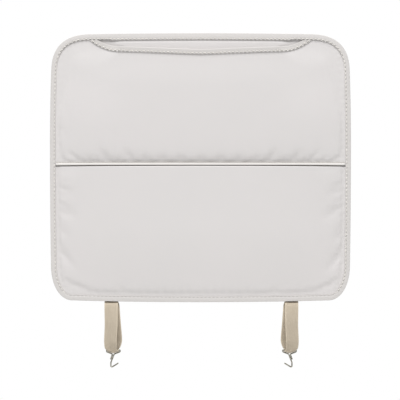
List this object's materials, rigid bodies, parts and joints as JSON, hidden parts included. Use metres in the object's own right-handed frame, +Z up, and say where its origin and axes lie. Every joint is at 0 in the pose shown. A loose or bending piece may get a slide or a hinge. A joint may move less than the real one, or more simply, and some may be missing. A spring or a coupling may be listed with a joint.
{
  "type": "seat back kick mat",
  "caption": "Padded leather mat that covers the back of a car seat, with pockets across its front and elastic loops with wire hooks below.",
  "frame": {"origin": "centre of the flat back face, which lies against the seat back", "axes": "+X across the mat, +Y out of its back towards the seat, +Z up; the front faces -Y"},
  "size_m": [0.4494, 0.0213, 0.4985],
  "materials": {
    "panel_leather": "fine grain, satin",
    "binding_leather": "smooth, satin",
    "lining_fabric": "plain weave, matt",
    "foam": "open cell foam, matt",
    "elastic_webbing": "ribbed elastic, matt",
    "plated_wire": "bright nickel plate"
  },
  "bodies": {
    "root": {"back_lining": "lining_fabric", "foam_core": "foam", "base_face": "panel_leather", "upper_pocket_panel": "panel_leather", "lower_pocket_panel": "panel_leather", "edge_binding": "binding_leather", "upper_mouth_binding": "binding_leather", "middle_band": "binding_leather", "elastic_strap_left": "elastic_webbing", "elastic_strap_right": "elastic_webbing", "hook_left": "plated_wire", "hook_right": "plated_wire"}
  },
  "joints": []
}
